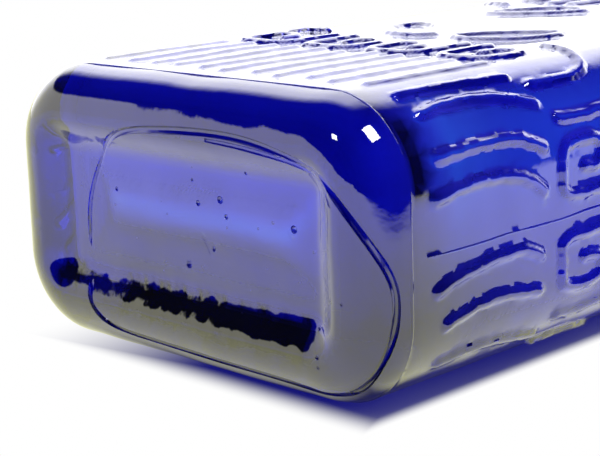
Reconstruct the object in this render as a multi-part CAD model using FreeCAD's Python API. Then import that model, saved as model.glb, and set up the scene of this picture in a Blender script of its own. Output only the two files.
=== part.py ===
import FreeCAD, Part
import math
import os
from FreeCAD import Vector

# A flask shaped swing top bottle of moulded glass, standing on its base, in millimetres.
# The origin is the middle of the base and +Z runs up the bottle's axis. X runs along the
# wide faces, and -Y is the front, where the thumb loop of the lever lies.

# Glass body
body_width = 90.0
body_depth = 49.0
corner_radius = 15.0
heel_radius = 8.5
body_height = 178.0
shoulder_height = 36.0
shoulder_fullness = 1.5
wall = 3.5
base_thickness = 7.0
inner_heel_radius = 9.0

# Shallow hollow under the base, inside the ring that the bottle stands on
ring_width = 2.0
hollow_depth = 2.0
hollow_slope = 4.5
hollow_corner = 9.0

# Raised ornament on the four sides, in rows above the heel and mirrored below the shoulder
ridge_width = 2.2
ridge_rise = 0.8
ridge_root = 0.6
ridge_bend = 1.9
fringe_bottom = 13.5
fringe_top = 41.5
wide_bars = 11
wide_bar_margin = 1.0
scroll_bottom = 44.5
scroll_top = 59.0
scroll_width = 11.0
scroll_spacing = 16.0
narrow_scroll_width = 8.4
narrow_scroll_start = 3.4
narrow_side_bar = 16.6
narrow_side_bow = 0.5
ornament_lift = 4.0

# Neck and mouth
neck_radius = 12.6
neck_height = 19.0
bead_radius = 13.6
bead_height = 5.0
groove_radius = 11.4
groove_height = 5.0
lip_radius = 13.0
lip_height = 9.5
lip_round = 2.0
neck_bore_radius = 8.9
mouth_radius = 9.2
mouth_depth = 14.0
mouth_round = 1.0

# Wires of the closure
neck_wire = 1.6
lever_wire = 2.2
bail_wire = 2.2
pivot_clearance = 0.1
seat_clearance = 0.05
side_clearance = 0.3
lip_gap = 0.5
eye_wrap = 260.0
neck_wire_bend = 3.2

# Lever, from its pivot in the neck wires to the thumb loop
crank_length = 11.0
over_centre = 10.0
lever_drop = 34.0
lever_reach = 18.5
elbow_drop = 20.0
elbow_reach = 5.0
thumb_width = 26.0
thumb_bend = 7.0
bail_bend = 4.0

# Porcelain stopper, measured from the top of the lip
head_radius = 12.6
head_underside = 3.2
head_side = 4.0
head_crown = 7.5
head_round = 1.2
crossbore_height = 8.6
spigot_radius = 5.2
flange_radius = 6.4
flange_thickness = 1.6

# Rubber ring under the stopper's head
ring_radius = 11.4
ring_gap = 0.3
ring_round = 0.9

# Heights that follow from these
ornament_middle = body_height / 2 + ornament_lift
neck_start = body_height + shoulder_height
bead_bottom = neck_start + neck_height
groove_bottom = bead_bottom + bead_height
lip_bottom = groove_bottom + groove_height
lip_top = lip_bottom + lip_height
wire_level = groove_bottom + groove_height / 2

# Pivots: A is the lever in the neck wires, B the bail on the crank, C the stopper on the bail
neck_eye_radius = lever_wire / 2 + pivot_clearance + neck_wire / 2
bail_eye_radius = lever_wire / 2 + pivot_clearance + bail_wire / 2
crank_angle = math.radians(over_centre)
pivot_a = Vector(0, 0, wire_level + neck_eye_radius)
pivot_b = pivot_a + Vector(0, math.sin(crank_angle), -math.cos(crank_angle)) * crank_length
pivot_c = Vector(0, 0, lip_top + crossbore_height)

# Places across the bottle, from the lip outwards
front_eye_x = lip_radius + lip_gap + neck_wire / 2
rear_eye_x = front_eye_x + neck_wire + side_clearance
eye_outside = neck_eye_radius + neck_wire / 2
web_x = rear_eye_x + neck_wire / 2 + side_clearance + lever_wire
bail_x = web_x + lever_wire + side_clearance + bail_wire / 2
arm_x = bail_x + bail_wire / 2 + side_clearance + lever_wire

up = Vector(0, 0, 1)
across = Vector(1, 0, 0)
shoulder_steps = 7
round_side_angle = 16.0


def polar(radius, degrees):
    angle = math.radians(degrees)
    return Vector(radius * math.cos(angle), radius * math.sin(angle), 0)


def line(start, end):
    return Part.LineSegment(start, end).toShape()


def arc(start, middle, end):
    return Part.Arc(start, middle, end).toShape()


def rounded_section(width, depth, radius, z):
    # Four quarter arcs and the four straight runs between them.
    corners = []
    for quarter, (side_x, side_y) in enumerate(((1, -1), (1, 1), (-1, 1), (-1, -1))):
        centre = Vector(side_x * (width / 2 - radius), side_y * (depth / 2 - radius), z)
        corners.append([centre + polar(radius, 90 * quarter - 90 + turn) for turn in (0, 45, 90)])
    edges = []
    for corner, following in zip(corners, corners[1:] + corners[:1]):
        edges.append(arc(*corner))
        edges.append(line(corner[2], following[0]))
    return Part.Wire(edges)


def round_section(radius, z):
    # A circle cut into eight arcs, which a loft pairs with a rounded rectangle's edges.
    edges = []
    centre = Vector(0, 0, z)
    for quarter in range(4):
        start = 90 * quarter - 90 + round_side_angle / 2
        end = start + 90 - round_side_angle
        edges.append(arc(*[centre + polar(radius, turn) for turn in (start, (start + end) / 2, end)]))
        follow = start + 90
        edges.append(arc(*[centre + polar(radius, turn) for turn in (end, (end + follow) / 2, follow)]))
    return Part.Wire(edges)


def shoulder(width, depth, radius, neck, bottom, top):
    # The rounded rectangle draws in to the round neck along a full, soft S curve.
    sections = []
    for step in range(shoulder_steps):
        share = step / shoulder_steps
        drawn = (1 + math.cos(math.pi * share ** shoulder_fullness)) / 2
        section_width = 2 * neck + (width - 2 * neck) * drawn
        section_depth = 2 * neck + (depth - 2 * neck) * drawn
        section_radius = neck + (radius - neck) * drawn
        z = bottom + (top - bottom) * share
        sections.append(rounded_section(section_width, section_depth, section_radius, z))
    sections.append(round_section(neck, top))
    return Part.makeLoft(sections, True, False)


def flask(width, depth, radius, heel, bottom, top):
    # An upright rounded box with its lower edge rounded over.
    block = Part.Face(rounded_section(width, depth, radius, bottom)).extrude(up * (top - bottom))
    heel_edges = [edge for edge in block.Edges if edge.BoundBox.ZMax < bottom + heel / 2]
    return block.makeFillet(heel, heel_edges)


def turned(edges):
    # A profile in the XZ plane turned once round the bottle's axis.
    return Part.Face(Part.Wire(edges)).revolve(Vector(0, 0, 0), up, 360)


def ring_point(radius, z):
    return Vector(radius, 0, z)


def rounded_corner(corner_r, corner_z, size, step_r, step_z):
    # A quarter arc in a turned profile: it starts level with the corner and ends at its side.
    centre = ring_point(corner_r + step_r * size, corner_z + step_z * size)
    diagonal = size / math.sqrt(2)
    start = centre - ring_point(step_r * size, 0)
    middle = centre - ring_point(step_r * diagonal, step_z * diagonal)
    end = centre - ring_point(0, step_z * size)
    return start, middle, end


def neck_finish():
    bead_middle = bead_bottom + bead_height / 2
    lip_start, lip_middle, lip_end = rounded_corner(lip_radius, lip_top, lip_round, -1, -1)
    return turned([
        line(ring_point(0, neck_start), ring_point(neck_radius, neck_start)),
        line(ring_point(neck_radius, neck_start), ring_point(neck_radius, bead_bottom)),
        arc(ring_point(neck_radius, bead_bottom), ring_point(bead_radius, bead_middle),
            ring_point(neck_radius, groove_bottom)),
        line(ring_point(neck_radius, groove_bottom), ring_point(groove_radius, groove_bottom)),
        line(ring_point(groove_radius, groove_bottom), ring_point(groove_radius, lip_bottom)),
        line(ring_point(groove_radius, lip_bottom), ring_point(lip_radius, lip_bottom)),
        line(ring_point(lip_radius, lip_bottom), lip_start),
        arc(lip_start, lip_middle, lip_end),
        line(lip_end, ring_point(0, lip_top)),
        line(ring_point(0, lip_top), ring_point(0, neck_start)),
    ])


def neck_bore(bottom):
    # The bore widens a little into the mouth, whose edge is rounded outwards.
    mouth_start = ring_point(mouth_radius, lip_top - mouth_round)
    mouth_centre = ring_point(mouth_radius + mouth_round, lip_top - mouth_round)
    mouth_middle = mouth_centre + ring_point(-mouth_round, mouth_round) * math.sqrt(0.5)
    mouth_end = ring_point(mouth_radius + mouth_round, lip_top)
    taper_end = ring_point(mouth_radius, lip_top - mouth_depth / 2)
    taper_start = ring_point(neck_bore_radius, lip_top - mouth_depth)
    return turned([
        line(ring_point(0, bottom), ring_point(neck_bore_radius, bottom)),
        line(ring_point(neck_bore_radius, bottom), taper_start),
        line(taper_start, taper_end),
        line(taper_end, mouth_start),
        arc(mouth_start, mouth_middle, mouth_end),
        line(mouth_end, ring_point(0, lip_top)),
        line(ring_point(0, lip_top), ring_point(0, bottom)),
    ])


def base_hollow():
    width = body_width - 2 * heel_radius - 2 * ring_width
    depth = body_depth - 2 * heel_radius - 2 * ring_width
    roof_corner = hollow_corner - hollow_slope
    rim = rounded_section(width, depth, hollow_corner, 0)
    roof = rounded_section(width - 2 * hollow_slope, depth - 2 * hollow_slope, roof_corner, hollow_depth)
    return Part.makeLoft([rim, roof], True, True)


def wall_place(normal, along):
    # A place on one side of the body, its outward direction and the direction along the wall.
    sideways = up.cross(normal)
    reach = abs(normal.x) * body_width / 2 + abs(normal.y) * body_depth / 2
    flat = abs(normal.y) * body_width / 2 + abs(normal.x) * body_depth / 2 - corner_radius
    hand = 1 if along > 0 else -1
    turn = max(abs(along) - flat, 0) / corner_radius
    out = normal * math.cos(turn) + sideways * (hand * math.sin(turn))
    inset = normal * (reach - corner_radius) + sideways * (hand * min(abs(along), flat))
    return inset + out * corner_radius, out, up.cross(out)


def straight_band(start, end, half):
    # The outline of a straight band with round ends.
    tip = (end - start).normalize() * half.Length
    return Part.Wire([
        line(start + half, end + half),
        arc(end + half, end + tip, end - half),
        line(end - half, start - half),
        arc(start - half, start - tip, start + half),
    ])


def raised_ridge(normal, spots):
    # A round ended band of glass along the spots, which give the way along the wall and the height.
    middle = sum(along for along, z in spots) / len(spots)
    foot, out, sideways = wall_place(normal, middle)
    foot = foot - out * ridge_root
    points = [foot + sideways * (along - middle) + up * z for along, z in spots]
    if len(points) == 2:
        outline = straight_band(*points, sideways * (ridge_width / 2))
    elif len(points) == 3:
        outline = Part.Wire([arc(*points)]).makeOffset2D(ridge_width / 2)
    else:
        path = bent_run(points, [ridge_bend] * (len(points) - 2))
        outline = Part.Wire(path).makeOffset2D(ridge_width / 2)
    return Part.Face(outline).extrude(out * (ridge_root + ridge_rise))


def bar_spots(along, bow, bottom, top):
    return [(along, bottom), (along + bow, (bottom + top) / 2), (along, top)]


def scroll_spots(along, width):
    # A squared scroll: a stem, the turn below, the far side and the hook back inside.
    rise = scroll_top - scroll_bottom
    turns = ((0, 1), (0, 0), (1.02, 0), (1.02, 0.72), (0.5, 0.72), (0.5, 0.4))
    return [(along + width * share, scroll_bottom + rise * height) for share, height in turns]


def narrow_rows():
    bars = ((-21.0, -2.0), (-13.4, -1.8), (-6.8, -2.7), (5.5, -2.6), (11.0, -1.6), (19.2, -1.8))
    rows = [bar_spots(along, bow, fringe_bottom + 1, fringe_top - 1.5) for along, bow in bars]
    for hand in (-1, 1):
        rows.append(scroll_spots(hand * narrow_scroll_start, hand * narrow_scroll_width))
        rows.append(bar_spots(hand * narrow_side_bar, narrow_side_bow, scroll_bottom, scroll_top - 1))
    return rows


def wide_rows():
    reach = body_width / 2 - corner_radius + wide_bar_margin
    rows = []
    for count in range(wide_bars):
        along = reach * (2 * count / (wide_bars - 1) - 1)
        rows.append([(along, fringe_bottom), (along, fringe_top)])
    for count in range(4):
        hand = 1 if count % 2 else -1
        middle = scroll_spacing * (count - 1.5)
        rows.append(scroll_spots(middle - hand * scroll_width / 2, hand * scroll_width))
    return rows


def raised_ornament():
    # The left side is the mirror image of the right one.
    front = Vector(0, -1, 0)
    ridges = []
    for normal, hand, rows in ((across, 1, narrow_rows()), (-across, -1, narrow_rows()),
                               (front, 1, wide_rows()), (-front, 1, wide_rows())):
        for spots in rows:
            low = [(hand * along, z) for along, z in spots]
            high = [(along, 2 * ornament_middle - z) for along, z in low]
            ridges += [raised_ridge(normal, low), raised_ridge(normal, high)]
    return ridges


def glass_bottle():
    body = flask(body_width, body_depth, corner_radius, heel_radius, 0, body_height)
    outer_shoulder = shoulder(body_width, body_depth, corner_radius, neck_radius, body_height, neck_start)
    outside = body.fuse([outer_shoulder, neck_finish()] + raised_ornament())
    inner_width = body_width - 2 * wall
    inner_depth = body_depth - 2 * wall
    inner_corner = corner_radius - wall
    inner_top = body_height - wall
    inner_neck = neck_start - wall
    cavity = flask(inner_width, inner_depth, inner_corner, inner_heel_radius, base_thickness, inner_top)
    inner_shoulder = shoulder(inner_width, inner_depth, inner_corner, neck_bore_radius, inner_top, inner_neck)
    inside = cavity.fuse([inner_shoulder, neck_bore(inner_neck)])
    return outside.cut([inside, base_hollow()]).removeSplitter()


def swept_wire(edges, diameter):
    # Round wire along a path of straight runs and tangent arcs.
    path = Part.Wire(edges)
    first = edges[0]
    start = first.valueAt(first.FirstParameter)
    heading = first.tangentAt(first.FirstParameter)
    profile = Part.Wire(Part.Circle(start, heading, diameter / 2).toShape())
    return path.makePipeShell([profile], True, False)


def bent_run(points, bends):
    # Straight runs through the points, with an arc of its own radius at each inner point.
    edges = []
    start = points[0]
    for before, corner, after, radius in zip(points, points[1:], points[2:], bends):
        into = (corner - before).normalize()
        out = (after - corner).normalize()
        turn = into.getAngle(out)
        cut = radius * math.tan(turn / 2)
        arc_start = corner - into * cut
        arc_end = corner + out * cut
        inward = (out - into).normalize()
        middle = corner + inward * (radius / math.cos(turn / 2) - radius)
        edges.append(line(start, arc_start))
        edges.append(arc(arc_start, middle, arc_end))
        start = arc_end
    edges.append(line(start, points[-1]))
    return edges


def mirrored(point):
    return Vector(-point.x, point.y, point.z)


def eye_arcs(centre, start_angle, sweep, radius):
    # Two arcs of a wire eye in a plane across X, with angles from +Y towards +Z.
    points = []
    for step in range(5):
        angle = math.radians(start_angle + sweep * step / 4)
        points.append(centre + Vector(0, math.cos(angle), math.sin(angle)) * radius)
    return [arc(*points[0:3]), arc(*points[2:5])]


def flipped(edges):
    # The same path on the other side of the bottle, run the other way.
    mirror = [edge.mirror(Vector(0, 0, 0), across) for edge in reversed(edges)]
    return [reversed_edge(edge) for edge in mirror]


def reversed_edge(edge):
    curve = edge.Curve
    low, high = edge.FirstParameter, edge.LastParameter
    ends = [edge.valueAt(high), edge.valueAt((low + high) / 2), edge.valueAt(low)]
    if isinstance(curve, (Part.Line, Part.LineSegment)):
        return line(ends[0], ends[2])
    return arc(*ends)


def neck_wire_half(eye_x, side, eye_run):
    # Half a ring in the neck groove, with an eye at each end for the lever's pivot. The wire
    # leaves the groove on a tangent, bends, and runs straight past the other wire's eye.
    ring_line = groove_radius + seat_clearance + neck_wire / 2
    level = Vector(0, 0, wire_level)
    bend_centre = Vector(eye_x - neck_wire_bend, side * eye_run, wire_level)
    bend_distance = math.hypot(bend_centre.x, eye_run)
    lean = math.degrees(math.acos((ring_line - neck_wire_bend) / bend_distance))
    lean += math.degrees(math.atan2(eye_run, bend_centre.x))
    ring = [level + polar(ring_line, side * turn) for turn in (90, (90 + lean) / 2, lean)]
    bend = [bend_centre + polar(neck_wire_bend, side * turn) for turn in (lean, lean / 2, 0)]
    eye_centre = Vector(eye_x, 0, pivot_a.z)
    eye_foot = Vector(eye_x, 0, wire_level)
    half = [arc(*ring), line(ring[2], bend[0]), arc(*bend)]
    if eye_run > 0:
        half.append(line(bend[2], eye_foot))
    half += eye_arcs(eye_centre, -90, -side * eye_wrap, neck_eye_radius)
    return swept_wire(flipped(half) + half, neck_wire)


def lever():
    # One wire: pivot pin, crank, crank pin for the bail, arm and thumb loop, and back again.
    thumb_corner = pivot_a + Vector(thumb_width / 2, -lever_reach, -lever_drop)
    half = [
        pivot_a + across * (lip_radius + lip_gap),
        pivot_a + across * web_x,
        pivot_b + across * web_x,
        pivot_b + across * arm_x,
        pivot_a + Vector(arm_x, -elbow_reach, -elbow_drop),
        thumb_corner,
    ]
    bends = [lever_wire, lever_wire, lever_wire, thumb_bend, thumb_bend]
    route = half + [mirrored(point) for point in reversed(half)]
    return swept_wire(bent_run(route, bends + bends[::-1]), lever_wire)


def bail():
    # One wire: an eye round each crank pin, two arms, and the bar through the stopper.
    reach = pivot_c - pivot_b
    towards = math.degrees(math.atan2(reach.z, reach.y))
    tangent_turn = towards - math.degrees(math.acos(bail_eye_radius / reach.Length))
    eye = eye_arcs(pivot_b + across * bail_x, tangent_turn, -eye_wrap, bail_eye_radius)
    eye_start = eye[0].valueAt(eye[0].FirstParameter)
    corner = pivot_c + across * bail_x
    run = bent_run([mirrored(eye_start), mirrored(corner), corner, eye_start], [bail_bend, bail_bend])
    return swept_wire(flipped(eye) + run + eye, bail_wire)


def stopper():
    underside = lip_top + head_underside
    side_top = underside + head_round + head_side
    crown_top = side_top + head_crown
    flange_top = lip_top + ring_gap - seat_clearance
    plug_bottom = flange_top - flange_thickness
    sphere = (head_radius ** 2 + head_crown ** 2) / (2 * head_crown)
    crown_middle = ring_point(head_radius / 2, crown_top - sphere + math.sqrt(sphere ** 2 - head_radius ** 2 / 4))
    edge_start, edge_middle, edge_end = rounded_corner(head_radius, underside, head_round, -1, 1)
    body = turned([
        line(ring_point(0, plug_bottom), ring_point(flange_radius, plug_bottom)),
        line(ring_point(flange_radius, plug_bottom), ring_point(flange_radius, flange_top)),
        line(ring_point(flange_radius, flange_top), ring_point(spigot_radius, flange_top)),
        line(ring_point(spigot_radius, flange_top), ring_point(spigot_radius, underside)),
        line(ring_point(spigot_radius, underside), edge_end),
        arc(edge_end, edge_middle, edge_start),
        line(edge_start, ring_point(head_radius, side_top)),
        arc(ring_point(head_radius, side_top), crown_middle, ring_point(0, crown_top)),
        line(ring_point(0, crown_top), ring_point(0, plug_bottom)),
    ])
    bore_length = 4 * head_radius
    bore_start = pivot_c - across * (bore_length / 2)
    crossbore = Part.makeCylinder(bail_wire / 2 + pivot_clearance, bore_length, bore_start, across)
    return body.cut(crossbore)


def gasket():
    inner = spigot_radius + seat_clearance
    seat = lip_top + ring_gap
    top = lip_top + head_underside - seat_clearance
    low_start, low_middle, low_end = rounded_corner(ring_radius, seat, ring_round, -1, 1)
    high_start, high_middle, high_end = rounded_corner(ring_radius, top, ring_round, -1, -1)
    return turned([
        line(ring_point(inner, seat), low_end),
        arc(low_end, low_middle, low_start),
        line(low_start, high_start),
        arc(high_start, high_middle, high_end),
        line(high_end, ring_point(inner, top)),
        line(ring_point(inner, top), ring_point(inner, seat)),
    ])


def main():
    nodes = {
        "glass_bottle": glass_bottle(),
        "front_neck_wire": neck_wire_half(front_eye_x, -1, 0),
        "rear_neck_wire": neck_wire_half(rear_eye_x, 1, eye_outside + side_clearance),
        "lever_wire": lever(),
        "bail_wire": bail(),
        "stopper": stopper(),
        "gasket": gasket(),
    }
    os.makedirs("parts", exist_ok=True)
    for name, shape in nodes.items():
        shape.exportStep(os.path.join("parts", name + ".step"))
        box = shape.BoundBox
        print(name, "solids", len(shape.Solids), "valid", shape.isValid(), "volume", round(shape.Volume),
              [round(value, 2) for value in (box.XMin, box.XMax, box.YMin, box.YMax, box.ZMin, box.ZMax)])
    for name, pivot in (("lever", pivot_a), ("bail", pivot_b), ("stopper", pivot_c)):
        print(name, "pivot", [round(value, 4) for value in pivot])


main()
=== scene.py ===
import math
import random

import bmesh
import bpy
from mathutils import Matrix, Vector
from mathutils.kdtree import KDTree


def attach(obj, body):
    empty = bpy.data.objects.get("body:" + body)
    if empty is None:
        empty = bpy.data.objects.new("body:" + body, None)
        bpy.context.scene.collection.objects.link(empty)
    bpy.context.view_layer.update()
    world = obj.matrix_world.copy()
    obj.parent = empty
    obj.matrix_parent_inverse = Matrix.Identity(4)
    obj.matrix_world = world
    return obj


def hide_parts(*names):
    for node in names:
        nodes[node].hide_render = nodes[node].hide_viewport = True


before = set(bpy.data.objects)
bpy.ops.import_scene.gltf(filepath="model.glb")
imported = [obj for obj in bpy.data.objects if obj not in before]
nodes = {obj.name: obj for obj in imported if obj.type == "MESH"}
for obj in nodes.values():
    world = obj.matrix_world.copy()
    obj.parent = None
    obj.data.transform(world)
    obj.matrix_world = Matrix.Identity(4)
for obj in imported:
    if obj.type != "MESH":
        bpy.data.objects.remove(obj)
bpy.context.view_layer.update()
scene = bpy.context.scene
scene.view_settings.view_transform = "Standard"
mm = 0.001
print("frame loaded:", len(nodes), "nodes")

limits = {  # what counts as flat, upright or the same place when parts of a mesh are picked
    "flatDown": -0.99,
    "flatUp": 0.9,
    "upright": 0.5,
    "near": mm / 10,
    "weld": mm / 1000,
}


def clearSelection():
    if bpy.context.object and bpy.context.object.mode != "OBJECT":
        bpy.ops.object.mode_set(mode="OBJECT")
    bpy.ops.object.select_all(action="DESELECT")


def takeUp(piece):
    clearSelection()
    piece.select_set(True)
    bpy.context.view_layer.objects.active = piece


def pick(piece, kind, wanted):  # selects in edit mode by place or normal
    bpy.ops.mesh.select_mode(type=kind)
    bpy.ops.mesh.select_all(action="DESELECT")
    grid = bmesh.from_edit_mesh(piece.data)
    parts = {"VERT": grid.verts, "EDGE": grid.edges, "FACE": grid.faces}[kind]
    for part in parts:
        if wanted(part):
            part.select_set(True)
    grid.select_flush_mode()
    bmesh.update_edit_mesh(piece.data)


def applyModifier(piece, kind, settings):
    takeUp(piece)
    modifier = piece.modifiers.new(kind.lower(), kind)
    for name, value in settings.items():
        setattr(modifier, name, value)
    bpy.ops.object.modifier_apply(modifier=modifier.name)


def limited(value):  # kept between 0 and 1
    return min(max(value, 0), 1)


def eased(share):  # a soft start and a soft end
    return share * share * (3 - 2 * share)


def displace(shell, share, settings):  # moves the surface along its normals, by its share
    group = shell.vertex_groups.new(name="moved")
    for vert in shell.data.vertices:
        group.add([vert.index], limited(share(vert.co)), "REPLACE")
    applyModifier(shell, "DISPLACE", dict(settings, vertex_group="moved"))


# The flask: one moulded shell outside and one inside, bridged at the mouth
glass = {
    "width": 90 * mm,
    "depth": 49 * mm,
    "corner": 15 * mm,
    "wall": 3.5 * mm,
    "bottom": 0,
    "top": 178 * mm,
    "heel": 8.5 * mm,
    "neckStart": 214 * mm,
    "neck": 12.6 * mm,
    "fullness": 1.5,  # above 1 the shoulder stays wide for longer
    "dishDepth": 3 * mm,
    "dishReach": 6.5 * mm,
    "grid": 2 * mm,
    "rowStep": 2 * mm,
    "cornerCuts": 12,
    "heelCuts": 12,
    "shoulderCuts": 20,
    "fineBase": True,
    "baseMargin": 0.3 * mm,
    "smoothAngle": 35,
}
bore = dict(
    glass,
    width=glass["width"] - 2 * glass["wall"],
    depth=glass["depth"] - 2 * glass["wall"],
    corner=glass["corner"] - glass["wall"],
    bottom=11.5 * mm,
    top=174.5 * mm,
    heel=11 * mm,
    neckStart=210.5 * mm,
    neck=8.9 * mm,
    dishDepth=-5 * mm,  # the floor inside sinks to the middle, so the heel is thick
    dishReach=9 * mm,
    rowStep=5 * mm,
    heelCuts=8,
    shoulderCuts=12,
    fineBase=False,
)


# A place on a rounded rectangle and its outward normal, by the share of the way round
def sectionSpot(width, depth, corner, share):
    flatX, flatY = width / 2 - corner, depth / 2 - corner
    arcLength = corner * math.pi / 2
    whole = 4 * (flatX + flatY + arcLength)
    half, run = divmod(share % 1 * whole, whole / 2)
    back = run > whole / 4
    if back:
        run = whole / 2 - run
    turn = min(max(run - flatY, 0) / corner, math.pi / 2)
    x = flatX + corner * math.cos(turn) - max(run - flatY - arcLength, 0)
    y = min(run, flatY) + corner * math.sin(turn)
    side = -1 if back else 1
    flip = -1 if half else 1
    return flip * side * x, flip * y, flip * side * math.cos(turn), flip * math.sin(turn)


# The share of the way round to a place, from the middle of +X
def sectionShare(width, depth, corner, x, y):
    flatX, flatY = width / 2 - corner, depth / 2 - corner
    arcLength = corner * math.pi / 2
    whole = 4 * (flatX + flatY + arcLength)
    turn = math.atan2(max(abs(y) - flatY, 0), max(abs(x) - flatX, 1e-9))
    run = min(abs(y), flatY) + corner * turn + max(flatX - abs(x), 0)
    if x < 0:
        run = whole / 2 - run
    if y < 0:
        run = whole - run
    return run / whole


def insideBy(size, x, y):  # how far a place lies inside the body's outline
    cornerX = abs(x) - (size["width"] / 2 - size["corner"])
    cornerY = abs(y) - (size["depth"] / 2 - size["corner"])
    outside = math.hypot(max(cornerX, 0), max(cornerY, 0)) + min(max(cornerX, cornerY), 0)
    return size["corner"] - outside


def undersideHeight(size, x, y):  # the heel's round, then the dish of the base
    inside = insideBy(size, x, y)
    if inside < size["heel"]:
        across = size["heel"] - max(inside, 0)
        return size["bottom"] + size["heel"] - math.sqrt(size["heel"] ** 2 - across ** 2)
    share = min((inside - size["heel"]) / size["dishReach"], 1)
    return size["bottom"] + size["dishDepth"] * eased(share)


def cutAcross(axis, places):
    for place in places:
        bpy.ops.mesh.select_all(action="SELECT")
        bpy.ops.mesh.bisect(plane_co=axis * place, plane_no=axis)


# Halves the cells of the flat base and carries them to the heel
def refineBase(shell, axis, flat, reach, cell):
    cuts = round(2 * flat / cell)
    step = flat / cuts
    last = int((reach - glass["baseMargin"]) / step)
    for count in range(-last, last + 1):
        if abs(count) <= cuts and (count + cuts) % 2 == 0:
            continue
        pick(shell, "FACE", lambda face: face.normal.z < limits["flatDown"])
        bpy.ops.mesh.bisect(plane_co=axis * count * step, plane_no=axis)


def extrudeRing(shell, spot):  # pulls the open edge up to its next ring
    bpy.ops.mesh.extrude_edges_move(TRANSFORM_OT_translate={"value": (0, 0, mm)})
    grid = bmesh.from_edit_mesh(shell.data)
    layer = grid.verts.layers.float["share"]
    for vert in grid.verts:
        if vert.select:
            vert.co = spot(vert[layer])
    bmesh.update_edit_mesh(shell.data)


def roundEdges(size, width, segments):
    bpy.ops.mesh.bevel(
        offset=size[width], segments=size[segments], affect="EDGES", clamp_overlap=False)


def flaskShell(name, size, profile):
    clearSelection()
    tall = size["top"] - size["bottom"]
    floorLevel = size["bottom"] + limits["near"]
    bpy.ops.mesh.primitive_cube_add(size=1, location=(0, 0, size["bottom"] + tall / 2))
    shell = bpy.context.active_object
    shell.name = name
    shell.scale = (size["width"], size["depth"], tall)
    bpy.ops.object.transform_apply(location=True, rotation=True, scale=True)
    bpy.ops.object.mode_set(mode="EDIT")
    pick(shell, "EDGE", lambda edge: abs(edge.verts[0].co.z - edge.verts[1].co.z) > tall / 2)
    roundEdges(size, "corner", "cornerCuts")
    flatX, flatY = size["width"] / 2 - size["corner"], size["depth"] / 2 - size["corner"]
    for axis, flat in ((Vector((1, 0, 0)), flatX), (Vector((0, 1, 0)), flatY)):
        cuts = round(2 * flat / size["grid"])
        cutAcross(axis, [flat * (2 * cut / cuts - 1) for cut in range(cuts + 1)])
    firstRow = size["bottom"] + size["heel"] + size["rowStep"]
    rows = int((size["top"] - firstRow) / size["rowStep"])
    cutAcross(Vector((0, 0, 1)), [firstRow + row * size["rowStep"] for row in range(rows + 1)])
    pick(shell, "EDGE", lambda edge: all(vert.co.z < floorLevel for vert in edge.verts)
         and max(face.normal.z for face in edge.link_faces) > -limits["upright"])
    roundEdges(size, "heel", "heelCuts")
    if size["fineBase"]:
        refineBase(shell, Vector((1, 0, 0)), flatX, size["width"] / 2 - size["heel"], size["grid"])
        refineBase(shell, Vector((0, 1, 0)), flatY, size["depth"] / 2 - size["heel"], size["grid"])
    pick(shell, "FACE", lambda face: face.normal.z > limits["flatUp"])
    bpy.ops.mesh.delete(type="FACE")
    grid = bmesh.from_edit_mesh(shell.data)
    layer = grid.verts.layers.float.new("share")
    for vert in grid.verts:
        x, y, z = vert.co
        vert[layer] = sectionShare(size["width"], size["depth"], size["corner"], x, y)
        if z < floorLevel:
            vert.co.z = undersideHeight(size, x, y)
    bmesh.update_edit_mesh(shell.data)
    pick(shell, "EDGE", lambda edge: edge.is_boundary)
    for cut in range(1, size["shoulderCuts"] + 1):
        height = cut / size["shoulderCuts"]
        drawn = (1 + math.cos(math.pi * height ** size["fullness"])) / 2
        section = [2 * size["neck"] + (size[side] - 2 * size["neck"]) * drawn
                   for side in ("width", "depth")]
        corner = size["neck"] + (size["corner"] - size["neck"]) * drawn
        z = size["top"] + (size["neckStart"] - size["top"]) * height
        extrudeRing(shell, lambda share: (*sectionSpot(*section, corner, share)[:2], z))
    for radius, z in profile:
        extrudeRing(shell, lambda share: (
            radius * math.cos(2 * math.pi * share), radius * math.sin(2 * math.pi * share), z))
    bpy.ops.mesh.select_all(action="SELECT")
    bpy.ops.mesh.normals_make_consistent(inside=False)
    bpy.ops.object.mode_set(mode="OBJECT")
    return shell


def roundOff(radius, z, size, start, end, steps):  # points of an arc in a turned profile
    turns = [math.radians(start + (end - start) * step / steps) for step in range(steps + 1)]
    return [(radius + size * math.cos(turn), z + size * math.sin(turn)) for turn in turns]


def inMillimetres(points):
    return [(radius * mm, z * mm) for radius, z in points]


# Neck profile, as radius and height: plain neck, bead, groove for the neck wires, rounded lip
neckOutside = inMillimetres(
    [(12.6, 218), (12.6, 223), (12.6, 228), (12.6, 232)]
    + roundOff(9.975, 235.5, 3.625, -43.6, 43.6, 7)
    + [(12.3, 238.05), (11.9, 238.1)]
    + roundOff(12, 238.7, 0.6, 270, 180, 4)
    + roundOff(12, 242.3, 0.6, 180, 90, 4)
    + roundOff(12.5, 243.5, 0.5, 270, 360, 4)
    + [(13, 247)]
    + roundOff(11, 250.5, 2, 0, 90, 6)
)
neckInside = inMillimetres(
    [(8.9, 216), (8.9, 224), (8.9, 232), (8.9, 238.5), (9.2, 245.5)]
    + roundOff(10.2, 251.5, 1, 180, 90, 6)
)

# Unevenness of moulded glass: the strength and the scale of each kind
waves = {
    "outerWaves": (0.35 * mm, 14 * mm),
    "chillWrinkles": (0.22 * mm, 2.4 * mm),
    "innerWaves": (0.9 * mm, 22 * mm),
}
chill = {
    "middle": 13 * mm,
    "half": 5 * mm,
    "left": -20 * mm,
    "right": 32 * mm,
    "elsewhere": 0.25,
}
thinWall = {
    "amount": 1.3 * mm,
    "start": 18 * mm,
    "rise": 27 * mm,
    "end": 205 * mm,
    "fall": 25 * mm,
}


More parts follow.
